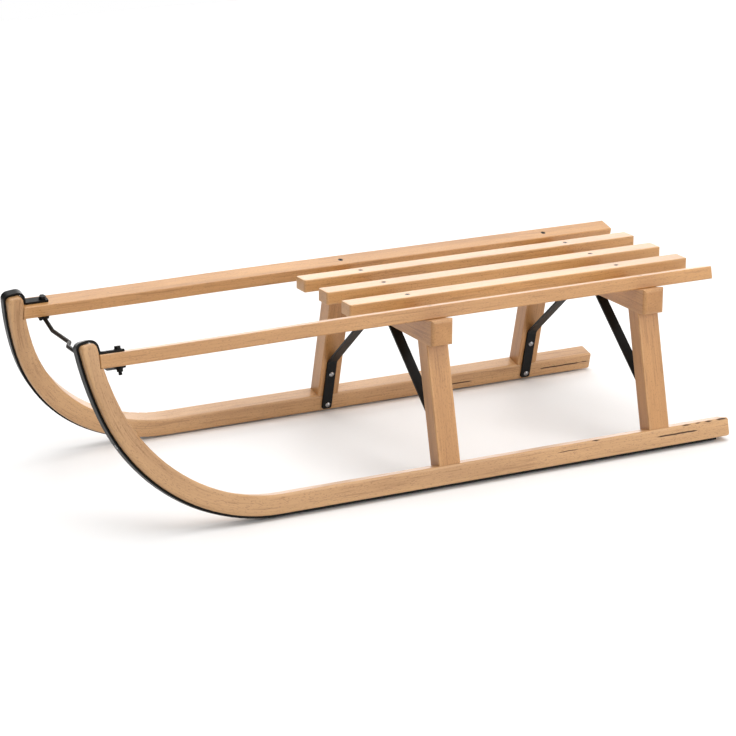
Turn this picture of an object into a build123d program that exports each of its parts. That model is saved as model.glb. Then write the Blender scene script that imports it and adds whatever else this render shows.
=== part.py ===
"""Wooden toboggan: a mountain sled of bent beech runners, seat slats and two benches, with steel fittings.

+X points to the horns, +Y to the left side and +Z up. The origin is on the ground under the sled's middle.
Both side frames lean inward. A place on the left one is given by x, a height up the frame and a distance out
across it, measured from the inner face of the runner.
"""

import os
from math import acos, cos, radians, sin

from build123d import *

os.makedirs("parts", exist_ok=True)

# Overall sizes
total_length = 1000.0
seat_height = 249.0
track_half_width = 182.9  # middle plane to the inner foot of each runner
lean = 13.8  # inward lean of each side frame, in degrees

# Runners and their steel shoes
runner_width = 28.4
runner_depth = 27.3
shoe_width = 12.0
shoe_thickness = 3.5
curl_radius = 253.0
curl_angle = 70.4
horn_radius = 447.0
back_lead = 8.5  # the back face starts to curl this much sooner than the front face
back_curl_radius = 240.0
back_horn_radius = 422.0
horn_rise = 4.0  # how far the front face's curve climbs past the rails' tops
horn_tip = 8.6  # straight length above that curve
horn_top_fall = 3.5  # the horn's top is this much lower in front
tail_inset = 19.7  # bare wood behind each shoe
strap_top_gap = 1.0
strap_back_gap = 0.4
strap_overlap = 40.0  # length of shoe that lies on each rail

# Seat
slat_width = 28.5
slat_thickness = 18.5
slat_pitch = 71.5
slat_front = 66.9
seat_rear_inset = 4.7  # tail of the runners to the slats' rear ends
rail_lift = 0.0  # rails' tops above the inner slats' tops
rail_dip = 2.0  # each rail is bent down this much ahead of the slats
dip_length = 320.0
rail_end_gap = 1.0
notch_depth = 1.6  # depth of the horn's notch at the rail's top

# Benches
front_bench = -31.5
rear_bench = -380.0
crossbar_width = 34.0
crossbar_depth = 30.0
crossbar_half_length = 176.0
leg_width = 34.0
leg_thickness = 26.5
tenon_width = 18.0
tenon_thickness = 11.0
foot_tenon_depth = 11.0
head_tenon_depth = 12.0
tenon_clearance = 0.1
housing_clearance = 0.3

# Braces
brace_width = 15.5
brace_lead = 1.2  # each brace sits this much ahead of its screws
brace_thickness = 3.0
brace_foot = 8.0
brace_bend_height = 90.0
brace_top_y = 27.0
brace_tab_y = 5.0

# Pull bar
bar_diameter = 6.0
bar_drop = 16.0  # rail underside's middle to the bar's axis
bolt_setback = 32.6  # horn notch to bolt
bar_drop_run = 26.0  # width over which the bar drops
eye_radius = 8.5
eye_thickness = 3.0
loop_mouth_half_width = 36.0
loop_half_width = 19.0
loop_reach = 9.0

# Fasteners
hole_clearance = 0.1
screw_head_radius = 3.6
screw_head_height = 2.4
screw_shank_radius = 2.0
screw_sink = 0.3
screw_bite = 16.0
screw_point = 4.0
recess_length = 4.0
recess_width = 0.9
recess_depth = 1.6
pan_head_radius = 4.0
pan_head_height = 2.4
pan_screw_bite = 18.0
bolt_radius = 2.5
bolt_head_flats = 8.0
bolt_head_height = 3.5
nut_height = 4.0
washer_radius = 5.0
washer_thickness = 1.0
bolt_end = 4.5

# Softened edges
runner_edge = 3.5
tail_corner = 4.0
horn_front_corner = 6.0
horn_back_corner = 9.0
slat_corner = 3.0
slat_edge = 1.5
crossbar_edge = 5.0
leg_edge = 1.5
brace_corner = 3.5
brace_bend_radius = 14.0
brace_tab_radius = 5.0
strap_foot_radius = 3.5
bar_bend_radius = 9.0
loop_bend_radius = 5.0

# Places worked out from the sizes above
lean_sin = sin(radians(lean))
lean_cos = cos(radians(lean))
mid_out = runner_width / 2
ground = -(runner_width - shoe_width) / 2 * lean_sin
runner_top = shoe_thickness + runner_depth
tail_x = -total_length / 2
shoe_start = tail_x + tail_inset
seat_rear = tail_x + seat_rear_inset
rail_top = (seat_height + rail_lift - ground - mid_out * lean_sin) / lean_cos
rail_bottom = rail_top - slat_thickness
rail_end_top = rail_top - rail_dip
rail_end_bottom = rail_bottom - rail_dip
slat_bottom_z = seat_height - slat_thickness
crossbar_bottom_z = slat_bottom_z - crossbar_depth


def outward(height, out):
    """y and z of a place on the left side frame."""
    y = track_half_width + out * lean_cos - height * lean_sin
    z = ground + out * lean_sin + height * lean_cos
    return y, z


def frame_spot(x, height, out):
    """A place on the left side frame in the sled's own axes."""
    return Vector(x, *outward(height, out))


def height_at(z, out):
    """Height up the left side frame of a level z."""
    return (z - ground - out * lean_sin) / lean_cos


up_frame = Vector(0, -lean_sin, lean_cos)
out_frame = Vector(0, lean_cos, lean_sin)


def side_plane(out):
    """Plane along the left side frame, facing the middle: its x is the sled's x, its y the height."""
    return Plane(origin=frame_spot(0, 0, out), x_dir=(1, 0, 0), z_dir=-out_frame)


def axis_plane(x, height, out):
    """Plane square to the side frame's height, for what is bolted or screwed down through it."""
    return Plane(origin=frame_spot(x, height, out), x_dir=(1, 0, 0), z_dir=up_frame)


# Curve of the runners, from the ground to the horn: each face is a start, a base height and two radii
turn_angle = radians(curl_angle)
shoe_middle = shoe_thickness / 2


def curl_point(face, angle):
    """Point of a face's curl at an angle."""
    start, base, curl, horn = face
    return (start + curl * sin(angle), base + curl * (1 - cos(angle)))


def horn_point(face, angle):
    """Point of the flatter curve that leads a face up into the horn."""
    x, height = curl_point(face, turn_angle)
    return (x + face[3] * (sin(angle) - sin(turn_angle)), height + face[3] * (cos(turn_angle) - cos(angle)))


def horn_angle_at(face, height):
    """Angle at which a face reaches a height."""
    return acos(cos(turn_angle) - (height - curl_point(face, turn_angle)[1]) / face[3])


def tip_point(face, rise):
    """Point above the front curve's end, along the horn's straight tip."""
    x, height = horn_point(face, horn_angle)
    return (x + rise * cos(horn_angle), height + rise * sin(horn_angle))


def curve_arcs(face, end_angle):
    """A face's curl and horn arcs, drawn upwards."""
    ThreePointArc(curl_point(face, 0), curl_point(face, turn_angle / 2), curl_point(face, turn_angle))
    middle = (turn_angle + end_angle) / 2
    ThreePointArc(horn_point(face, turn_angle), horn_point(face, middle), horn_point(face, end_angle))


front_shape = (0, shoe_thickness, curl_radius, horn_radius)
horn_angle = horn_angle_at(front_shape, rail_top + horn_rise)
shoe_reach = tip_point(front_shape, horn_tip)[0] + shoe_thickness * sin(horn_angle)
curl_start = total_length / 2 - shoe_reach
front_face = (curl_start, shoe_thickness, curl_radius, horn_radius)
back_face = (curl_start - back_lead, runner_top, back_curl_radius, back_horn_radius)
shoe_face = (curl_start, 0, curl_radius + shoe_thickness, horn_radius + shoe_thickness)
shoe_core = (curl_start, shoe_middle, curl_radius + shoe_middle, horn_radius + shoe_middle)
horn_front_top = tip_point(front_face, horn_tip)
horn_back_angle = horn_angle_at(back_face, horn_front_top[1] + horn_top_fall)
horn_back_top = horn_point(back_face, horn_back_angle)

# The horn's notch is cut into its back face at the rail's top, and the bolts stand behind it
notch_x = horn_point(back_face, horn_angle_at(back_face, rail_end_top))[0] + notch_depth
rail_front = notch_x - rail_end_gap
bolt_x = notch_x - bolt_setback
strap_end = notch_x - strap_overlap


def turned(plane, outline, mode=Mode.ADD):
    """Revolve an outline of (radius, height) points about the plane's normal."""
    with BuildSketch(Plane(origin=plane.origin, x_dir=plane.x_dir, z_dir=-plane.y_dir)) as section:
        with BuildLine():
            Polyline(*outline, close=True)
        make_face()
    revolve(section.sketch, axis=Axis(plane.origin, plane.z_dir), mode=mode)


def cross_recess(plane):
    """The cross cut into a screw's head."""
    with BuildSketch(plane) as cross:
        Rectangle(recess_length, recess_width)
        Rectangle(recess_width, recess_length)
    extrude(cross.sketch, amount=-recess_depth, mode=Mode.SUBTRACT)


def countersunk_outline(length, clearance=0.0):
    """Outline of a countersunk wood screw, or of its hole when it has a clearance."""
    head = screw_head_radius + clearance
    shank = screw_shank_radius + clearance
    seat = -screw_sink - screw_head_height
    if clearance:
        return [(0, 1), (head, 1), (head, -screw_sink), (shank, seat), (shank, -length - clearance),
                (0, -length - clearance)]
    return [(0, -screw_sink), (head, -screw_sink), (shank, seat), (shank, screw_point - length), (0, -length)]


def countersunk_screw(plane, length):
    """A countersunk wood screw with a cross recess, its head just under the plane."""
    turned(plane, countersunk_outline(length))
    cross_recess(plane.offset(-screw_sink))


def screw_hole(plane, length):
    """The hole that a countersunk screw fits."""
    turned(plane, countersunk_outline(length, hole_clearance), Mode.SUBTRACT)


def pan_screw(plane):
    """A domed wood screw whose head rests on the plane."""
    length = brace_thickness + pan_screw_bite
    with BuildSketch(Plane(origin=plane.origin, x_dir=plane.x_dir, z_dir=-plane.y_dir)) as section:
        with BuildLine():
            RadiusArc((0, pan_head_height), (pan_head_radius, 0), 1.3 * pan_head_radius)
            Polyline((pan_head_radius, 0), (screw_shank_radius, 0),
                     (screw_shank_radius, screw_point - length), (0, -length), (0, pan_head_height))
        make_face()
    revolve(section.sketch, axis=Axis(plane.origin, plane.z_dir))
    cross_recess(plane.offset(pan_head_height))


def round_hole(plane, radius, depth):
    """A plain hole down from the plane, also open upwards by a millimetre."""
    turned(plane, [(0, 1), (radius, 1), (radius, -depth), (0, -depth)], Mode.SUBTRACT)


# Planes of the fasteners
slat_screw_length = slat_thickness + screw_bite
benches = {"front": front_bench, "rear": rear_bench}
brace_runner_height = runner_top - runner_depth / 2 - 2.5
brace_leg_height = 68.0
brace_screw_y = 14.0


def slat_screw_plane(bench_x, y):
    """Where a screw enters an inner slat."""
    return Plane.XY.offset(seat_height).move(Location((bench_x, y, 0)))


def rail_screw_plane(bench_x):
    """Where a screw enters the left rail."""
    return axis_plane(bench_x, rail_top, mid_out)


def brace_side_plane(bench_x, height):
    """Where a screw enters a left brace on the side frame, its normal towards the sled's middle."""
    return Plane(origin=frame_spot(bench_x, height, -brace_thickness), x_dir=(1, 0, 0), z_dir=-out_frame)


def brace_tab_plane(bench_x):
    """Where a screw enters a left brace's tab from below."""
    origin = (bench_x, brace_screw_y, crossbar_bottom_z - brace_thickness)
    return Plane(origin=origin, x_dir=(1, 0, 0), z_dir=(0, 0, -1))


def shoe_screw_planes():
    """Where the screws enter the left shoe from below, four on the flat and two on the curl."""
    flat = [shoe_start + 15, (front_bench + rear_bench) / 2, (front_bench + curl_start) / 2, curl_start - 25]
    planes = [Plane(origin=frame_spot(x, 0, mid_out), x_dir=(1, 0, 0), z_dir=-up_frame) for x in flat]
    for share in (0.4, 0.85):
        angle = turn_angle * share
        x, height = curl_point(shoe_face, angle)
        normal = Vector(sin(angle), 0, 0) - up_frame * cos(angle)
        planes.append(Plane(origin=frame_spot(x, height, mid_out), x_dir=out_frame, z_dir=normal))
    return planes


shoe_screw_length = shoe_thickness + 16.0
tenon_out = leg_thickness / 2


def tenon_block(bench_x, low, high, clearance, mode):
    """A tenon, or its mortise when it has a clearance, between two heights of the left side frame."""
    with BuildSketch(side_plane(tenon_out + tenon_thickness / 2 + clearance)) as cheek:
        with BuildLine():
            half = tenon_width / 2 + clearance
            Polyline((bench_x - half, low), (bench_x + half, low),
                     (bench_x + half, high), (bench_x - half, high), close=True)
        make_face()
    extrude(cheek.sketch, amount=tenon_thickness + 2 * clearance, mode=mode)


head_tenon_base = height_at(crossbar_bottom_z, tenon_out)
head_tenon_top = head_tenon_base + head_tenon_depth
foot_tenon_end = runner_top - foot_tenon_depth

# Runners
with BuildPart() as runner_left:
    with BuildSketch(side_plane(runner_width)):
        with BuildLine():
            Line((tail_x, runner_top), (tail_x, shoe_thickness))
            Line((tail_x, shoe_thickness), curl_point(front_face, 0))
            curve_arcs(front_face, horn_angle)
            Polyline(horn_point(front_face, horn_angle), horn_front_top, horn_back_top)
            curve_arcs(back_face, horn_back_angle)
            Line(curl_point(back_face, 0), (tail_x, runner_top))
        make_face()
    extrude(amount=runner_width)
    across = runner_left.edges().filter_by(Axis((0, 0, 0), out_frame))
    fillet(across.group_by(Axis.X)[0], tail_corner)
    across = runner_left.edges().filter_by(Axis((0, 0, 0), out_frame))
    tips = across.sort_by(Axis.Z)[-2:].sort_by(Axis.X)
    fillet(tips[-1], horn_front_corner)
    across = runner_left.edges().filter_by(Axis((0, 0, 0), out_frame))
    fillet(across.sort_by(Axis.Z)[-1], horn_back_corner)
    flanks = runner_left.faces().filter_by(Axis((0, 0, 0), out_frame))
    fillet(flanks.edges(), runner_edge)
    with BuildSketch(side_plane(runner_width + 1)):
        with BuildLine():
            Polyline((notch_x, rail_end_bottom), (notch_x, rail_end_top + 1),
                     (notch_x - 40, rail_end_top + 1), (notch_x - 40, rail_end_bottom), close=True)
        make_face()
    extrude(amount=runner_width + 2, mode=Mode.SUBTRACT)
    for bench_x in benches.values():
        tenon_block(bench_x, foot_tenon_end - 0.5, runner_top + 1, tenon_clearance, Mode.SUBTRACT)
        round_hole(brace_side_plane(bench_x, brace_runner_height), screw_shank_radius + hole_clearance,
                   brace_thickness + pan_screw_bite + hole_clearance)
    for plane in shoe_screw_planes():
        screw_hole(plane, shoe_screw_length)

# Steel shoes
with BuildPart() as shoe_left:
    crest = horn_tip + strap_top_gap + shoe_middle
    strap_front = tip_point(shoe_core, crest)
    back_clear = strap_back_gap + shoe_middle
    strap_back = (horn_back_top[0] - back_clear, strap_front[1] + horn_top_fall)
    strap_height = rail_end_top + shoe_middle
    strap_foot = (notch_x - notch_depth - back_clear - 1, strap_height)
    with BuildLine(side_plane(mid_out)) as shoe_path:
        Line((shoe_start, shoe_middle), curl_point(shoe_core, 0))
        curve_arcs(shoe_core, horn_angle)
        FilletPolyline(horn_point(shoe_core, horn_angle), strap_front, strap_back, strap_foot,
                       (strap_end, strap_height),
                       radius=[horn_front_corner + shoe_middle, horn_back_corner + shoe_middle,
                               strap_foot_radius])
    start = shoe_path.wire() @ 0
    with BuildSketch(Plane(origin=start, x_dir=out_frame, z_dir=(1, 0, 0))):
        Rectangle(shoe_width, shoe_thickness)
    sweep(path=shoe_path.wire())
    round_hole(axis_plane(bolt_x, rail_end_top + shoe_thickness, mid_out), bolt_radius + hole_clearance,
               shoe_thickness + 1)
    for plane in shoe_screw_planes():
        screw_hole(plane, shoe_screw_length)

# Outer rails, which bend down a little ahead of the inner slats
def dip_arcs(height):
    """Two arcs that lower a rail's edge from a height by the dip."""
    quarter = dip_length / 4
    middle = (slat_front + 2 * quarter, height - rail_dip / 2)
    end = (slat_front + dip_length, height - rail_dip)
    ThreePointArc((slat_front, height), (slat_front + quarter, height - rail_dip / 8), middle)
    ThreePointArc(middle, (slat_front + 3 * quarter, height - 7 * rail_dip / 8), end)


with BuildPart() as rail_left:
    with BuildSketch(side_plane(mid_out + slat_width / 2)):
        with BuildLine():
            Polyline((slat_front, rail_top), (seat_rear, rail_top), (seat_rear, rail_bottom),
                     (slat_front, rail_bottom))
            dip_arcs(rail_bottom)
            Polyline((slat_front + dip_length, rail_end_bottom), (rail_front, rail_end_bottom),
                     (rail_front, rail_end_top), (slat_front + dip_length, rail_end_top))
            dip_arcs(rail_top)
        make_face()
    extrude(amount=slat_width)
    across = rail_left.edges().filter_by(Axis((0, 0, 0), out_frame))
    fillet(across.group_by(Axis.X)[0] + across.group_by(Axis.X)[-1], slat_edge)
    flanks = rail_left.faces().filter_by(Axis((0, 0, 0), out_frame))
    fillet(flanks.edges(), slat_edge)
    round_hole(axis_plane(bolt_x, rail_end_top, mid_out), bolt_radius + hole_clearance, slat_thickness + 1)
    for bench_x in benches.values():
        screw_hole(rail_screw_plane(bench_x), slat_screw_length)

# Inner slats
slat_places = {"slat_left": slat_pitch, "slat_centre": 0.0, "slat_right": -slat_pitch}
slats = {}
for name, slat_y in slat_places.items():
    with BuildPart() as slat:
        middle_x = (slat_front + seat_rear) / 2
        with BuildSketch(Plane(origin=(middle_x, slat_y, slat_bottom_z))):
            RectangleRounded(slat_front - seat_rear, slat_width, slat_corner)
        extrude(amount=slat_thickness)
        fillet(slat.faces().filter_by(Axis.Z).edges(), slat_edge)
        for bench_x in benches.values():
            screw_hole(slat_screw_plane(bench_x, slat_y), slat_screw_length)
    slats[name] = slat

# Cross bars
crossbars = {}
housing_y, housing_z = outward(rail_bottom, mid_out - slat_width / 2 - housing_clearance)
end_out = mid_out + (crossbar_half_length - outward(rail_bottom, mid_out)[0]) / lean_cos
end_z = outward(rail_bottom, end_out)[1]
shoulder_y = housing_y - (slat_bottom_z - housing_z) * lean_sin / lean_cos
for bench, bench_x in benches.items():
    with BuildPart() as crossbar:
        front_face = Plane(origin=(bench_x + crossbar_width / 2, 0, 0), x_dir=(0, 1, 0), z_dir=(1, 0, 0))
        with BuildSketch(front_face):
            with BuildLine():
                Polyline((0, crossbar_bottom_z), (crossbar_half_length, crossbar_bottom_z),
                         (crossbar_half_length, end_z), (housing_y, housing_z), (shoulder_y, slat_bottom_z),
                         (0, slat_bottom_z), close=True)
            make_face()
            mirror(about=Plane.YZ)
        extrude(amount=-crossbar_width)
        ends = crossbar.faces().filter_by(Axis.Y)
        outer_ends = ends.sort_by(Axis.Y)[0].edges() + ends.sort_by(Axis.Y)[-1].edges()
        fillet(outer_ends, crossbar_edge)
        for slat_y in slat_places.values():
            screw_hole(slat_screw_plane(bench_x, slat_y), slat_screw_length)
        tenon_block(bench_x, head_tenon_base - 20, head_tenon_top + 0.5, tenon_clearance, Mode.SUBTRACT)
        screw_hole(rail_screw_plane(bench_x), slat_screw_length)
        round_hole(brace_tab_plane(bench_x), screw_shank_radius + hole_clearance,
                   brace_thickness + pan_screw_bite + hole_clearance)
        split(bisect_by=Plane.XZ, keep=Keep.BOTTOM)
        mirror(about=Plane.XZ)
        screw_hole(slat_screw_plane(bench_x, 0), slat_screw_length)
    crossbars[f"crossbar_{bench}"] = crossbar

# Legs and braces
legs = {}
braces = {}
for bench, bench_x in benches.items():
    with BuildPart() as leg:
        with BuildSketch(side_plane(leg_thickness)):
            with BuildLine():
                half = leg_width / 2
                high = head_tenon_base + leg_thickness
                Polyline((bench_x - half, runner_top), (bench_x + half, runner_top), (bench_x + half, high),
                         (bench_x - half, high), close=True)
            make_face()
        extrude(amount=leg_thickness)
        fillet(leg.edges().filter_by(Axis((0, 0, 0), up_frame)), leg_edge)
        split(bisect_by=Plane.XY.offset(crossbar_bottom_z), keep=Keep.BOTTOM)
        tenon_block(bench_x, foot_tenon_end, runner_top + 5, 0, Mode.ADD)
        tenon_block(bench_x, head_tenon_base - 10, head_tenon_top, 0, Mode.ADD)
        round_hole(brace_side_plane(bench_x, brace_leg_height), screw_shank_radius + hole_clearance,
                   brace_thickness + pan_screw_bite + hole_clearance)
    legs[f"leg_{bench}_left"] = leg

    with BuildPart() as brace:
        half = brace_thickness / 2
        brace_x = bench_x + brace_lead
        foot = frame_spot(brace_x, brace_foot, -half)
        bend = frame_spot(brace_x, brace_bend_height, -half)
        tab_z = crossbar_bottom_z - half
        with BuildLine() as brace_path:
            FilletPolyline(foot, bend, (brace_x, brace_top_y, tab_z), (brace_x, brace_tab_y, tab_z),
                           radius=[brace_bend_radius, brace_tab_radius])
        with BuildSketch(Plane(origin=foot, x_dir=(1, 0, 0), z_dir=up_frame)):
            Rectangle(brace_width, brace_thickness)
        sweep(path=brace_path.wire())
        end_area = brace_width * brace_thickness
        caps = brace.faces().filter_by(lambda face: abs(face.area - end_area) < 0.5)
        corners = caps.edges().filter_by(lambda edge: abs(edge.length - brace_thickness) < 0.01)
        fillet(corners, brace_corner)
        hole_radius = screw_shank_radius + hole_clearance
        for height in (brace_runner_height, brace_leg_height):
            round_hole(brace_side_plane(bench_x, height), hole_radius, brace_thickness + 1)
        round_hole(brace_tab_plane(bench_x), hole_radius, brace_thickness + 1)
    braces[f"brace_{bench}_left"] = brace

# Pull bar: a flattened eye under each rail, a round bar between them and a loop forward at the middle
with BuildPart() as pull_bar:
    bar_radius = bar_diameter / 2
    bar_z = outward(rail_end_bottom, mid_out)[1] - bar_drop
    bar_start = frame_spot(bolt_x, rail_end_bottom - bar_radius, mid_out - eye_radius)
    bar_knee = frame_spot(bolt_x, rail_end_bottom - bar_radius, -3.0)
    with BuildLine() as bar_path:
        FilletPolyline(bar_start, bar_knee, (bolt_x, bar_knee.Y - bar_drop_run, bar_z),
                       (bolt_x, loop_mouth_half_width, bar_z), (bolt_x + loop_reach, loop_half_width, bar_z),
                       (bolt_x + loop_reach, 0, bar_z),
                       radius=[bar_bend_radius, bar_bend_radius, loop_bend_radius, loop_bend_radius])
    with BuildSketch(Plane(origin=bar_start, x_dir=(1, 0, 0), z_dir=-out_frame)):
        Circle(bar_radius)
    sweep(path=bar_path.wire())
    with BuildSketch(axis_plane(0, rail_end_bottom - eye_thickness, mid_out)):
        with Locations((bolt_x, -eye_radius / 2)):
            SlotCenterToCenter(eye_radius, 2 * eye_radius, rotation=90)
    extrude(amount=eye_thickness)
    round_hole(axis_plane(bolt_x, rail_end_bottom, mid_out), bolt_radius + hole_clearance, eye_thickness + 1)
    mirror(about=Plane.XZ)

# Bolts, washers and nuts
bolt_head_low = rail_end_top + shoe_thickness + washer_thickness
nut_top = rail_end_bottom - eye_thickness - washer_thickness
with BuildPart() as rail_bolts:
    with BuildSketch(axis_plane(bolt_x, bolt_head_low, mid_out)):
        RegularPolygon(bolt_head_flats / 2, 6, major_radius=False)
    extrude(amount=bolt_head_height)
    with BuildSketch(axis_plane(bolt_x, bolt_head_low, mid_out)):
        Circle(bolt_radius)
    extrude(amount=-(bolt_head_low - nut_top + nut_height + bolt_end))
    mirror(about=Plane.XZ)

with BuildPart() as rail_washers:
    for height in (rail_end_top + shoe_thickness, nut_top):
        with BuildSketch(axis_plane(bolt_x, height, mid_out)):
            Circle(washer_radius)
            Circle(bolt_radius + hole_clearance, mode=Mode.SUBTRACT)
        extrude(amount=washer_thickness)
    mirror(about=Plane.XZ)

with BuildPart() as rail_nuts:
    with BuildSketch(axis_plane(bolt_x, nut_top, mid_out)):
        RegularPolygon(bolt_head_flats / 2, 6, major_radius=False)
        Circle(bolt_radius + hole_clearance / 2, mode=Mode.SUBTRACT)
    extrude(amount=-nut_height)
    mirror(about=Plane.XZ)

# Screws
with BuildPart() as seat_screws:
    for bench_x in benches.values():
        countersunk_screw(rail_screw_plane(bench_x), slat_screw_length)
        countersunk_screw(slat_screw_plane(bench_x, slat_pitch), slat_screw_length)
    mirror(about=Plane.XZ)
    for bench_x in benches.values():
        countersunk_screw(slat_screw_plane(bench_x, 0), slat_screw_length)

with BuildPart() as brace_runner_screws:
    for bench_x in benches.values():
        pan_screw(brace_side_plane(bench_x, brace_runner_height))
    mirror(about=Plane.XZ)

with BuildPart() as brace_leg_screws:
    for bench_x in benches.values():
        pan_screw(brace_side_plane(bench_x, brace_leg_height))
    mirror(about=Plane.XZ)

with BuildPart() as brace_crossbar_screws:
    for bench_x in benches.values():
        pan_screw(brace_tab_plane(bench_x))
    mirror(about=Plane.XZ)

with BuildPart() as shoe_screws:
    for plane in shoe_screw_planes():
        countersunk_screw(plane, shoe_screw_length)
    mirror(about=Plane.XZ)

# Right-hand pieces mirror the left-hand ones
nodes = {"pull_bar": pull_bar, "rail_bolts": rail_bolts, "rail_washers": rail_washers, "rail_nuts": rail_nuts,
         "seat_screws": seat_screws, "brace_runner_screws": brace_runner_screws,
         "brace_leg_screws": brace_leg_screws, "brace_crossbar_screws": brace_crossbar_screws,
         "shoe_screws": shoe_screws}
nodes.update(slats)
nodes.update(crossbars)
left_pieces = {"runner_left": runner_left, "shoe_left": shoe_left, "rail_left": rail_left}
left_pieces.update(legs)
left_pieces.update(braces)
nodes.update(left_pieces)
for name, left_piece in left_pieces.items():
    with BuildPart() as right_piece:
        mirror(left_piece.part, about=Plane.XZ)
    nodes[name.replace("left", "right")] = right_piece

for name, node in nodes.items():
    node.part.label = name
    export_step(node.part, f"parts/{name}.step")
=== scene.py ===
"""Wooden toboggan: beech, steel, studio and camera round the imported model. Metres, +X forward, +Z up."""
import math

import bpy
import numpy as np
from mathutils import Matrix, Vector


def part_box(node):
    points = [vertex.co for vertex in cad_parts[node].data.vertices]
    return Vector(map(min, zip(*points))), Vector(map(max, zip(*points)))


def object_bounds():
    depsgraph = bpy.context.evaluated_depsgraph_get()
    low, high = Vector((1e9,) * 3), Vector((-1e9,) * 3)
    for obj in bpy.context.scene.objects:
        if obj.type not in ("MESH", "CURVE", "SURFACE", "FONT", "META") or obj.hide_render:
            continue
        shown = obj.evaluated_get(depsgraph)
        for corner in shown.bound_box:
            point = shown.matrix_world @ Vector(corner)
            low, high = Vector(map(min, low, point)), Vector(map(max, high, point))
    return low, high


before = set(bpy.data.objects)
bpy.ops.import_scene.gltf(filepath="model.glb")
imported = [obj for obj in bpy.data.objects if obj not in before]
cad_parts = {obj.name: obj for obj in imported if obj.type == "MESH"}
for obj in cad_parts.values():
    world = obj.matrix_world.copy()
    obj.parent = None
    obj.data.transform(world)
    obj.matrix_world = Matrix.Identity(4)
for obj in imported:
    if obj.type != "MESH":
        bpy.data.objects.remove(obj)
cad_box = [list(corner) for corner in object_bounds()]

# The side frames lean outwards at the bottom by this much
lean = math.radians(13.8)
# The runners bend up round this radius, measured to their lower face
curl_radius = 0.253
runner_width = 0.0284
runner_depth = 0.0273
# How far the horn reaches ahead of where the bend starts
bend_reach = 0.2604
# Half sizes of the legs and rails across their grain, and how far in from a corner the eased edge shows: a
# paler band that is partly wear and partly a painted highlight of the rounding
leg_half_thickness = 0.0133
leg_half_width = 0.017
rail_half_height = 0.013
eased_reach = 0.0042
# The satin lacquer over the beech
lacquer_weight = 0.35
lacquer_roughness = 0.30
# The studio floor is a square of this half width
floor_half_width = 3.4


# Small helpers for building node trees

def put(tree, kind, settings=None, **values):
    """A new node of a kind, with its settings and the values of its unlinked sockets."""
    node = tree.nodes.new(kind)
    for key, value in (settings or {}).items():
        setattr(node, key, value)
    for key, value in values.items():
        node.inputs[key.replace("_", " ")].default_value = value
    return node


def work(tree, operation, *terms, clamp=False):
    """One Math node whose terms are numbers or sockets. Gives its output socket."""
    node = tree.nodes.new("ShaderNodeMath")
    node.operation = operation
    node.use_clamp = clamp
    for socket, term in zip(node.inputs, terms):
        if isinstance(term, (int, float)):
            socket.default_value = term
        else:
            tree.links.new(term, socket)
    return node.outputs[0]


def vector_work(tree, operation, *terms):
    """One Vector Math node whose terms are triples or sockets. Gives its vector output."""
    node = tree.nodes.new("ShaderNodeVectorMath")
    node.operation = operation
    for socket, term in zip(node.inputs, terms):
        if isinstance(term, tuple):
            socket.default_value = term
        else:
            tree.links.new(term, socket)
    return node.outputs[0]


def ramp(tree, value, low, high, to_low=0.0, to_high=1.0):
    """A smooth step of a value from low to high. Gives its output socket."""
    node = put(tree, "ShaderNodeMapRange", {"interpolation_type": "SMOOTHSTEP"},
               From_Min=low, From_Max=high, To_Min=to_low, To_Max=to_high)
    tree.links.new(value, node.inputs["Value"])
    return node.outputs["Result"]


def blend_colours(tree, factor, first, second):
    """One colour Mix node. The colours are sockets or RGBA tuples. Gives its output socket."""
    node = put(tree, "ShaderNodeMix", {"data_type": "RGBA", "blend_type": "MIX"})
    for socket, term in ((node.inputs["Factor"], factor), (node.inputs[6], first), (node.inputs[7], second)):
        if isinstance(term, (int, float, tuple)):
            socket.default_value = term
        else:
            tree.links.new(term, socket)
    return node.outputs[2]


def speckle(tree, place, stretch, detail=2.0, roughness=0.5):
    """Noise over a place that is first stretched along each axis, in waves per metre."""
    stretched = vector_work(tree, "MULTIPLY", place, stretch)
    node = put(tree, "ShaderNodeTexNoise", {"noise_dimensions": "3D"},
               Scale=1.0, Detail=detail, Roughness=roughness)
    tree.links.new(stretched, node.inputs["Vector"])
    return node.outputs["Fac"]


def start_group(name, inputs, outputs):
    """An empty shader group with named sockets. Gives the tree, its inside inputs and its inside outputs."""
    tree = bpy.data.node_groups.new(name, "ShaderNodeTree")
    kinds = {"vector": "NodeSocketVector", "number": "NodeSocketFloat", "colour": "NodeSocketColor"}
    for label, kind in inputs:
        tree.interface.new_socket(name=label, in_out="INPUT", socket_type=kinds[kind])
    for label, kind in outputs:
        tree.interface.new_socket(name=label, in_out="OUTPUT", socket_type=kinds[kind])
    return tree, tree.nodes.new("NodeGroupInput").outputs, tree.nodes.new("NodeGroupOutput").inputs


def use_group(tree, group, **values):
    """A group placed in a tree. Values are numbers, tuples or sockets, by socket name. Gives its outputs."""
    node = tree.nodes.new("ShaderNodeGroup")
    node.node_tree = group
    for key, value in values.items():
        socket = node.inputs[key.replace("_", " ")]
        if isinstance(value, (int, float, tuple)):
            socket.default_value = value
        else:
            tree.links.new(value, socket)
    return node.outputs


# Effects shared by the finishes

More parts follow.
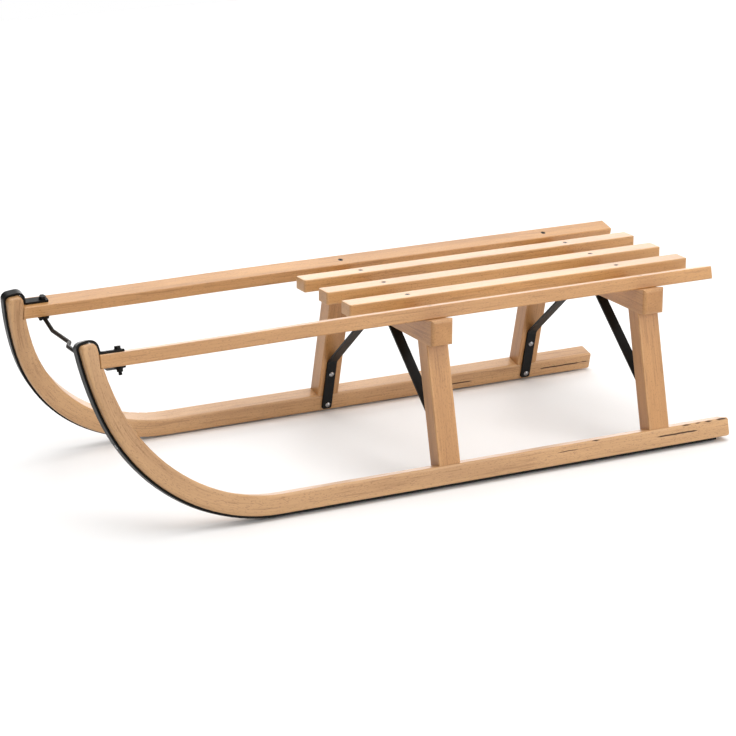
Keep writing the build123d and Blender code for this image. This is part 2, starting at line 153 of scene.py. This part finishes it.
def make_bend():
    """Straight grain up to the bend, then round it.

    Ahead of the bend's centre the place along the grain is the bend radius times the angle swung about
    the centre, and the depth is the distance from the centre. Behind it both are plain distances.
    """
    tree, given, result = start_group(
        "Grain round the bend",
        [("Place", "vector"), ("Bend X", "number"), ("Bend Z", "number"), ("Radius", "number")],
        [("Grain", "vector")])
    parts = tree.nodes.new("ShaderNodeSeparateXYZ")
    tree.links.new(given["Place"], parts.inputs[0])
    forward = work(tree, "SUBTRACT", parts.outputs["X"], given["Bend X"])
    below = work(tree, "SUBTRACT", given["Bend Z"], parts.outputs["Z"])
    ahead = work(tree, "MAXIMUM", forward, 0.0)
    behind = work(tree, "MINIMUM", forward, 0.0)
    swung = work(tree, "MULTIPLY", work(tree, "ARCTAN2", ahead, below), given["Radius"])
    away = work(tree, "SQRT", work(tree, "ADD", work(tree, "MULTIPLY", ahead, ahead),
                                   work(tree, "MULTIPLY", below, below)))
    joined = tree.nodes.new("ShaderNodeCombineXYZ")
    tree.links.new(work(tree, "ADD", behind, swung), joined.inputs["X"])
    tree.links.new(parts.outputs["Y"], joined.inputs["Y"])
    tree.links.new(away, joined.inputs["Z"])
    tree.links.new(joined.outputs[0], result["Grain"])
    return tree


def make_beech():
    """Beech: soft broad streaks, faint growth rings, fine fibres and short dark ray flecks along X."""
    tree, given, result = start_group(
        "Beech figure",
        [("Grain", "vector"), ("Seed", "number"), ("Pale", "colour"), ("Deep", "colour"),
         ("Streaks", "number")],
        [("Color", "colour"), ("Roughness", "number"), ("Height", "number")])
    shift = tree.nodes.new("ShaderNodeCombineXYZ")
    tree.links.new(work(tree, "MULTIPLY", given["Seed"], 1.37), shift.inputs["X"])
    tree.links.new(work(tree, "MULTIPLY", given["Seed"], 0.61), shift.inputs["Y"])
    tree.links.new(work(tree, "MULTIPLY", given["Seed"], 0.83), shift.inputs["Z"])
    place = vector_work(tree, "ADD", given["Grain"], shift.outputs[0])
    broad = speckle(tree, place, (2.2, 34.0, 34.0), detail=3.0)
    blotch = speckle(tree, place, (7.0, 12.0, 12.0), detail=1.0)
    fibre = speckle(tree, place, (34.0, 1300.0, 1300.0), detail=2.0, roughness=0.6)
    fleck = ramp(tree, speckle(tree, place, (300.0, 1900.0, 1000.0), detail=0.0), 0.64, 0.73)
    vein = ramp(tree, speckle(tree, place, (16.0, 420.0, 420.0), detail=1.0), 0.585, 0.70)
    parts = tree.nodes.new("ShaderNodeSeparateXYZ")
    tree.links.new(place, parts.inputs[0])
    across = work(tree, "ADD", work(tree, "MULTIPLY", parts.outputs["Z"], 1450.0),
                  work(tree, "MULTIPLY", parts.outputs["Y"], 520.0))
    ring = work(tree, "SINE", work(tree, "ADD", across, work(tree, "MULTIPLY", broad, 15.0)))
    deep = work(tree, "MULTIPLY", work(tree, "SUBTRACT", broad, 0.5), given["Streaks"])
    deep = work(tree, "ADD", deep, work(tree, "MULTIPLY", ring, 0.045))
    deep = work(tree, "ADD", deep, work(tree, "MULTIPLY", work(tree, "SUBTRACT", fibre, 0.5), 0.55))
    deep = work(tree, "ADD", deep, work(tree, "MULTIPLY", work(tree, "SUBTRACT", blotch, 0.5), 0.7))
    deep = work(tree, "ADD", deep, work(tree, "MULTIPLY", vein, 0.42))
    deep = work(tree, "ADD", deep, 0.36, clamp=True)
    body = blend_colours(tree, deep, given["Pale"], given["Deep"])
    flecked = blend_colours(tree, work(tree, "MULTIPLY", fleck, 0.42), body, (0.21, 0.085, 0.028, 1.0))
    tree.links.new(flecked, result["Color"])
    gloss = work(tree, "ADD", work(tree, "MULTIPLY", fibre, 0.16), 0.33)
    tree.links.new(work(tree, "ADD", gloss, work(tree, "MULTIPLY", blotch, 0.08)), result["Roughness"])
    relief = work(tree, "SUBTRACT", work(tree, "MULTIPLY", fibre, 0.6), work(tree, "MULTIPLY", fleck, 0.35))
    tree.links.new(work(tree, "ADD", relief, work(tree, "MULTIPLY", ring, 0.08)), result["Height"])
    return tree


def make_edge():
    """How near a place is to the long edges of a bar: the product of how near it is to two of its faces."""
    tree, given, result = start_group(
        "Eased edge",
        [("Place", "vector"), ("Half size", "vector"), ("Reach", "number")],
        [("Mask", "number")])
    gap = vector_work(tree, "SUBTRACT", given["Half size"], vector_work(tree, "ABSOLUTE", given["Place"]))
    parts = tree.nodes.new("ShaderNodeSeparateXYZ")
    tree.links.new(gap, parts.inputs[0])
    near = [work(tree, "SUBTRACT", 1.0, work(tree, "DIVIDE", parts.outputs[axis], given["Reach"]), clamp=True)
            for axis in "XYZ"]
    pairs = [work(tree, "MULTIPLY", near[a], near[b]) for a, b in ((0, 1), (0, 2), (1, 2))]
    most = work(tree, "MAXIMUM", pairs[0], work(tree, "MAXIMUM", pairs[1], pairs[2]))
    ragged = speckle(tree, given["Place"], (60.0, 200.0, 200.0), detail=2.0)
    most = work(tree, "MULTIPLY", most, ramp(tree, ragged, 0.3, 0.62, 0.35, 1.0))
    tree.links.new(most, result["Mask"])
    return tree


def make_check():
    """A drying check: a hair crack along the grain, swaying a little and thin at its ends."""
    tree, given, result = start_group(
        "Drying check",
        [("Grain", "vector"), ("From", "number"), ("To", "number"), ("Depth", "number"), ("Width", "number"),
         ("Side", "number")],
        [("Mask", "number")])
    parts = tree.nodes.new("ShaderNodeSeparateXYZ")
    tree.links.new(given["Grain"], parts.inputs[0])
    drift = speckle(tree, given["Grain"], (38.0, 4.0, 4.0))
    sway = work(tree, "MULTIPLY", work(tree, "SUBTRACT", drift, 0.5), 0.0026)
    depth = work(tree, "ADD", parts.outputs["Z"], sway)
    off = work(tree, "ABSOLUTE", work(tree, "SUBTRACT", depth, given["Depth"]))
    since = work(tree, "SUBTRACT", parts.outputs["X"], given["From"])
    until = work(tree, "SUBTRACT", given["To"], parts.outputs["X"])
    ends = work(tree, "MULTIPLY", work(tree, "MINIMUM", since, until), 140.0, clamp=True)
    width = work(tree, "ADD", work(tree, "MULTIPLY", ends, given["Width"]), 0.00001)
    line = ramp(tree, work(tree, "DIVIDE", off, width), 0.35, 1.0, 1.0, 0.0)
    facing = work(tree, "GREATER_THAN", work(tree, "MULTIPLY", parts.outputs["Y"], given["Side"]), 0.0)
    mask = work(tree, "MULTIPLY", line, work(tree, "GREATER_THAN", ends, 0.0))
    tree.links.new(work(tree, "MULTIPLY", mask, facing), result["Mask"])
    return tree


def make_scuff():
    """Fine scuffs and a soft orange peel for paint and plating, with scratches drawn out along X."""
    tree, given, result = start_group(
        "Scuffed metal",
        [("Place", "vector"), ("Seed", "number")],
        [("Scratch", "number"), ("Cloud", "number"), ("Peel", "number")])
    shift = tree.nodes.new("ShaderNodeCombineXYZ")
    tree.links.new(given["Seed"], shift.inputs["X"])
    place = vector_work(tree, "ADD", given["Place"], shift.outputs[0])
    scratch = ramp(tree, speckle(tree, place, (45.0, 1500.0, 1500.0), detail=2.0), 0.62, 0.78)
    tree.links.new(scratch, result["Scratch"])
    tree.links.new(speckle(tree, place, (60.0, 60.0, 60.0), detail=3.0), result["Cloud"])
    tree.links.new(speckle(tree, place, (900.0, 900.0, 900.0), detail=1.0), result["Peel"])
    return tree


bend = make_bend()
beech = make_beech()
edge = make_edge()
check = make_check()
scuff = make_scuff()


# Finishes

def start_material(name):
    """A material with only a Principled BSDF and its output. Gives the material, its tree and the shader."""
    material = bpy.data.materials.new(name)
    material.use_nodes = True
    tree = material.node_tree
    tree.nodes.clear()
    shader = tree.nodes.new("ShaderNodeBsdfPrincipled")
    output = tree.nodes.new("ShaderNodeOutputMaterial")
    tree.links.new(shader.outputs["BSDF"], output.inputs["Surface"])
    return material, tree, shader


def placed(tree, turn=(0.0, 0.0, 0.0), shift=(0.0, 0.0, 0.0)):
    """Object coordinates turned and then shifted. Gives the vector socket."""
    coordinates = tree.nodes.new("ShaderNodeTexCoord")
    mapping = put(tree, "ShaderNodeMapping", {"vector_type": "POINT"}, Location=shift, Rotation=turn)
    tree.links.new(coordinates.outputs["Object"], mapping.inputs["Vector"])
    return mapping.outputs[0]


def bump(tree, shader, height, distance, strength=1.0):
    """A Bump node from a height to the shader's normal."""
    node = put(tree, "ShaderNodeBump", Strength=strength, Distance=distance)
    tree.links.new(height, node.inputs["Height"])
    tree.links.new(node.outputs["Normal"], shader.inputs["Normal"])


def beech_finish(name, grain_from, seed, pale, deep, half, turn=(0.0, 0.0, 0.0), shift=(0.0, 0.0, 0.0),
                 bent=None, checks=(), streaks=1.5):
    """Satin lacquered beech for one piece.

    grain_from says which of the piece's own axes the grain follows: X, Y or Z. half is the bar's half
    size in those axes, for its eased edges. bent holds the bend's centre for a steam-bent runner, and
    checks the hair cracks that show on it.
    """
    material, tree, shader = start_material(name)
    place = placed(tree, turn, shift)
    if grain_from != "X":
        parts = tree.nodes.new("ShaderNodeSeparateXYZ")
        swapped = tree.nodes.new("ShaderNodeCombineXYZ")
        tree.links.new(place, parts.inputs[0])
        order = {"Y": "YXZ", "Z": "ZYX"}[grain_from]
        for axis, source in zip("XYZ", order):
            tree.links.new(parts.outputs[source], swapped.inputs[axis])
        place = swapped.outputs[0]
    about = place
    if bent:
        place = use_group(tree, bend, Place=place, Bend_X=bent[0], Bend_Z=bent[1],
                          Radius=curl_radius)["Grain"]
        about = vector_work(tree, "SUBTRACT", place, (0.0, bent[2], curl_radius - runner_depth / 2))
    figure = use_group(tree, beech, Grain=place, Seed=seed, Pale=pale, Deep=deep, Streaks=streaks)
    # Paler along the eased edges, blended towards a pale pinkish beech: partly wear, partly a painted
    # highlight standing in for the light the rounded edges catch
    edge_highlight_and_wear = use_group(tree, edge, Place=about, Half_size=half, Reach=eased_reach)["Mask"]
    colour = blend_colours(tree, work(tree, "MULTIPLY", edge_highlight_and_wear, 0.45), figure["Color"], (0.66, 0.40, 0.19, 1.0))
    height = figure["Height"]
    roughness = work(tree, "ADD", figure["Roughness"], work(tree, "MULTIPLY", edge_highlight_and_wear, 0.10))
    if checks:
        masks = [use_group(tree, check, Grain=about, From=a, To=b, Depth=d, Width=w, Side=s)["Mask"]
                 for a, b, d, w, s in checks]
        crack = masks[0]
        for mask in masks[1:]:
            crack = work(tree, "MAXIMUM", crack, mask)
        colour = blend_colours(tree, work(tree, "MULTIPLY", crack, 0.97), colour, (0.030, 0.009, 0.003, 1.0))
        height = work(tree, "SUBTRACT", height, work(tree, "MULTIPLY", crack, 3.0))
        roughness = work(tree, "ADD", roughness, work(tree, "MULTIPLY", crack, 0.3))
    tree.links.new(colour, shader.inputs["Base Color"])
    tree.links.new(roughness, shader.inputs["Roughness"])
    bump(tree, shader, height, 0.00018, 0.55)
    if checks:
        sound = work(tree, "SUBTRACT", 1.0, crack)
        tree.links.new(work(tree, "MULTIPLY", sound, lacquer_weight), shader.inputs["Coat Weight"])
    else:
        shader.inputs["Coat Weight"].default_value = lacquer_weight
    shader.inputs["Coat Roughness"].default_value = lacquer_roughness
    return material


def black_paint(name, seed, running_face=False):
    """Satin black paint on steel. A shoe's running face is rubbed back to bare steel on the ground."""
    material, tree, shader = start_material(name)
    place = placed(tree)
    marks = use_group(tree, scuff, Place=place, Seed=seed)
    tone = blend_colours(tree, marks["Cloud"], (0.0035, 0.0034, 0.0032, 1.0), (0.0085, 0.0085, 0.0085, 1.0))
    tone = blend_colours(tree, work(tree, "MULTIPLY", marks["Scratch"], 0.16), tone, (0.11, 0.11, 0.115, 1.0))
    roughness = work(tree, "ADD", work(tree, "MULTIPLY", marks["Cloud"], 0.22), 0.27)
    if running_face:
        parts = tree.nodes.new("ShaderNodeSeparateXYZ")
        tree.links.new(place, parts.inputs[0])
        rubbed = work(tree, "MULTIPLY", ramp(tree, parts.outputs["Z"], 0.0002, 0.0013, 1.0, 0.0),
                      ramp(tree, marks["Cloud"], 0.32, 0.6, 0.35, 1.0))
        tone = blend_colours(tree, rubbed, tone, (0.33, 0.32, 0.31, 1.0))
        tree.links.new(rubbed, shader.inputs["Metallic"])
        roughness = work(tree, "ADD", roughness, work(tree, "MULTIPLY", marks["Scratch"], 0.12))
    tree.links.new(tone, shader.inputs["Base Color"])
    tree.links.new(roughness, shader.inputs["Roughness"])
    shader.inputs["Specular IOR Level"].default_value = 0.14
    bump(tree, shader, work(tree, "SUBTRACT", marks["Peel"], work(tree, "MULTIPLY", marks["Scratch"], 0.4)),
         0.00006, 0.6)
    return material


def zinc_plate(name, seed, dark=False):
    """Zinc plate, bright on the heads that catch the light, and blackened on the seat screws."""
    material, tree, shader = start_material(name)
    marks = use_group(tree, scuff, Place=placed(tree), Seed=seed)
    bright = (0.016, 0.014, 0.012, 1.0) if dark else (0.50, 0.50, 0.51, 1.0)
    dull = (0.007, 0.006, 0.005, 1.0) if dark else (0.30, 0.30, 0.31, 1.0)
    tree.links.new(blend_colours(tree, marks["Cloud"], bright, dull), shader.inputs["Base Color"])
    roughness = work(tree, "ADD", work(tree, "MULTIPLY", marks["Cloud"], 0.25), 0.18)
    tree.links.new(work(tree, "ADD", roughness, work(tree, "MULTIPLY", marks["Scratch"], 0.2)),
                   shader.inputs["Roughness"])
    shader.inputs["Metallic"].default_value = 0.0 if dark else 1.0
    shader.inputs["Specular IOR Level"].default_value = 0.15 if dark else 0.5
    bump(tree, shader, marks["Peel"], 0.00004, 0.5)
    return material


def finish_with(node, material):
    """Gives a CAD node one material in all its slots."""
    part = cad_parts[node]
    if not part.material_slots:
        part.data.materials.append(material)
    for slot in part.material_slots:
        slot.link = "OBJECT"
        slot.material = material


def middle_of(node):
    """The middle and the half size of a CAD node's box, as numpy rows."""
    low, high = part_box(node)
    low, high = np.array(low), np.array(high)
    return (low + high) / 2, (high - low) / 2


golden = {"pale": (0.565, 0.290, 0.102, 1.0), "deep": (0.335, 0.150, 0.042, 1.0)}
rosy = {"pale": (0.540, 0.268, 0.092, 1.0), "deep": (0.320, 0.142, 0.042, 1.0)}
cream = {"pale": (0.585, 0.310, 0.112, 1.0), "deep": (0.360, 0.168, 0.050, 1.0)}
# The runners' beech is paler than the other pieces: partly its own tone, partly painted sheen, the extra
# gloss of the horns put into the colour
bent_wood_with_painted_sheen = {"pale": (0.590, 0.340, 0.155, 1.0), "deep": (0.355, 0.180, 0.070, 1.0)}

# Hair cracks near the runners' tails: where each starts and ends ahead of the bend, its depth from the
# middle of the bar, its width, and the flank it is on
runner_checks = {
    "runner_left": ((-0.680, -0.608, -0.0012, 0.0016, 1.0), (-0.476, -0.440, -0.0034, 0.0008, 1.0),
                    (-0.733, -0.712, -0.0114, 0.0016, 1.0), (-0.708, -0.692, -0.0112, 0.0015, 1.0),
                    (-0.687, -0.676, -0.0114, 0.0014, 1.0), (-0.670, -0.652, -0.0112, 0.0013, 1.0),
                    (-0.514, -0.498, -0.0116, 0.0012, 1.0)),
    "runner_right": ((-0.716, -0.640, 0.0006, 0.0017, 1.0), (-0.733, -0.712, 0.0002, 0.0012, 1.0),
                     (-0.520, -0.478, 0.0032, 0.0015, 1.0)),
}

# Seat slats, each cut from its own board
for number, node in enumerate(sorted(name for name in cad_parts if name.startswith("slat"))):
    middle, half = middle_of(node)
    finish_with(node, beech_finish("Beech " + node.replace("_", " "), "X", 1.0 + 2.3 * number,
                                   half=tuple(float(v) for v in half), shift=tuple(float(-v) for v in middle),
                                   streaks=1.7, **cream))

# Benches across the sled, grain along Y
for number, node in enumerate(("crossbar_front", "crossbar_rear")):
    middle, half = middle_of(node)
    finish_with(node, beech_finish("Beech " + node.replace("_", " "), "Y", 21.0 + 3.1 * number,
                                   half=(float(half[1]), float(half[0]), float(half[2])),
                                   shift=tuple(float(-v) for v in middle), **rosy))

# Side rails, grain along X
for number, node in enumerate(("rail_left", "rail_right")):
    middle, half = middle_of(node)
    finish_with(node, beech_finish("Beech " + node.replace("_", " "), "X", 31.0 + 4.7 * number,
                                   half=(float(half[0]), float(half[1]), rail_half_height),
                                   shift=tuple(float(-v) for v in middle), **golden))

# Legs, turned upright from their lean, grain along Z
for number, node in enumerate(("leg_front_left", "leg_front_right", "leg_rear_left", "leg_rear_right")):
    side = 1.0 if node.endswith("left") else -1.0
    middle, half = middle_of(node)
    turn = (-side * lean, 0.0, 0.0)
    centre = Matrix.Rotation(-side * lean, 3, "X") @ Vector([float(v) for v in middle])
    finish_with(node, beech_finish("Beech " + node.replace("_", " "), "Z", 41.0 + 1.9 * number,
                                   half=(float(half[2]), leg_half_thickness, leg_half_width), turn=turn,
                                   shift=tuple(-centre), **rosy))

# Runners, turned upright from their lean, grain round the bend
for number, node in enumerate(("runner_left", "runner_right")):
    side = 1.0 if node.endswith("left") else -1.0
    low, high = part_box(node)
    upright = Matrix.Rotation(-side * lean, 3, "X")
    outer = high[1] if side > 0 else low[1]
    foot = upright @ Vector((0.0, outer - side * runner_width * math.cos(lean) / 2, low[2] + 0.0035))
    centre_x = high[0] - bend_reach
    centre_z = foot.z + curl_radius
    finish_with(node, beech_finish("Beech " + node.replace("_", " "), "X", 55.0 + 6.1 * number,
                                   half=(2.0, runner_width / 2, runner_depth / 2),
                                   turn=(-side * lean, 0.0, 0.0), bent=(centre_x, centre_z, foot.y),
                                   checks=runner_checks[node], streaks=1.5, **bent_wood_with_painted_sheen))

# Steel
for number, node in enumerate(("shoe_left", "shoe_right")):
    finish_with(node, black_paint("Black shoe " + node[5:], 3.0 * number, running_face=True))
for number, node in enumerate(sorted(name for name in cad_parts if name.startswith("brace_")
                                     and not name.endswith("screws"))):
    finish_with(node, black_paint("Black " + node.replace("_", " "), 7.0 + number))
finish_with("pull_bar", black_paint("Black pull bar", 17.0))
for number, node in enumerate(("rail_bolts", "rail_washers", "rail_nuts")):
    finish_with(node, black_paint("Black " + node.replace("_", " "), 23.0 + number))
for number, node in enumerate(("brace_runner_screws", "brace_leg_screws",
                               "brace_crossbar_screws", "shoe_screws")):
    finish_with(node, zinc_plate("Zinc " + node.replace("_", " "), 31.0 + number))
finish_with("seat_screws", zinc_plate("Dull seat screws", 37.0, dark=True))


# Studio

def pale_floor():
    """A wide flat floor at the height the shoes stand on: a grid of two parameters, both plain distances."""
    half = floor_half_width
    across, along = np.meshgrid(np.linspace(-half, half, 5), np.linspace(-half, half, 5))
    points = np.stack([across.ravel(), along.ravel(), np.full(across.size, cad_box[0][2] - 0.0002)], axis=1)
    corner = (np.arange(4)[:, None] * 5 + np.arange(4)[None, :]).ravel()
    faces = np.stack([corner, corner + 1, corner + 6, corner + 5], axis=1)
    mesh = bpy.data.meshes.new("Studio floor")
    mesh.from_pydata(points.tolist(), [], faces.tolist())
    floor = bpy.data.objects.new("Studio floor", mesh)
    bpy.context.scene.collection.objects.link(floor)
    material, tree, shader = start_material("Studio white")
    shader.inputs["Base Color"].default_value = (0.86, 0.86, 0.86, 1.0)
    shader.inputs["Roughness"].default_value = 0.9
    mesh.materials.append(material)


def soft_light(name, place, target, size, power, colour=(1.0, 1.0, 1.0)):
    """A large square light facing a target."""
    light = bpy.data.lights.new(name, "AREA")
    light.shape = "SQUARE"
    light.size = size
    light.energy = power
    light.color = colour
    lamp = bpy.data.objects.new(name, light)
    lamp.location = place
    lamp.rotation_euler = (Vector(target) - Vector(place)).to_track_quat("-Z", "Y").to_euler()
    lamp.visible_camera = False
    bpy.context.scene.collection.objects.link(lamp)


pale_floor()
soft_light("Overhead softbox", (-0.2, 0.1, 3.0), (0.0, 0.0, 0.0), 3.4, 98.0)
soft_light("Side softbox", (-1.6, 3.0, 1.7), (-0.1, 0.0, 0.12), 2.2, 62.0, (1.0, 0.985, 0.95))
soft_light("Back softbox", (-1.1, -4.3, 1.5), (0.0, 0.0, 0.2), 4.6, 190.0)

# The air is white to look at and gives a little light all round
world = bpy.data.worlds.new("Studio air")
world.use_nodes = True
air = world.node_tree
seen = air.nodes.new("ShaderNodeLightPath")
glow = blend_colours(air, seen.outputs["Is Camera Ray"], (0.30, 0.30, 0.30, 1.0), (1.0, 1.0, 1.0, 1.0))
air.links.new(glow, air.nodes["Background"].inputs["Color"])
air.nodes["Background"].inputs["Strength"].default_value = 1.0
bpy.context.scene.world = world
bpy.context.scene.view_settings.view_transform = "Standard"

# Camera: a long lens from the front left, a little above the seat
camera_data = bpy.data.cameras.new("Studio camera")
camera_data.lens = 139.66
camera_data.sensor_width = 36.0
camera_data.clip_end = 60.0
camera = bpy.data.objects.new("Studio camera", camera_data)
bpy.context.scene.collection.objects.link(camera)
eye = Vector((1.828, 3.483, 1.362))
right_way = Vector((-0.88547, 0.46469, 0.00499)).normalized()
back_way = Vector((0.44458, 0.84394, 0.30021)).normalized()
up_way = back_way.cross(right_way).normalized()
right_way = up_way.cross(back_way)
camera.matrix_world = Matrix.Translation(eye) @ Matrix((right_way, up_way, back_way)).transposed().to_4x4()
bpy.context.scene.camera = camera

bpy.context.view_layer.update()
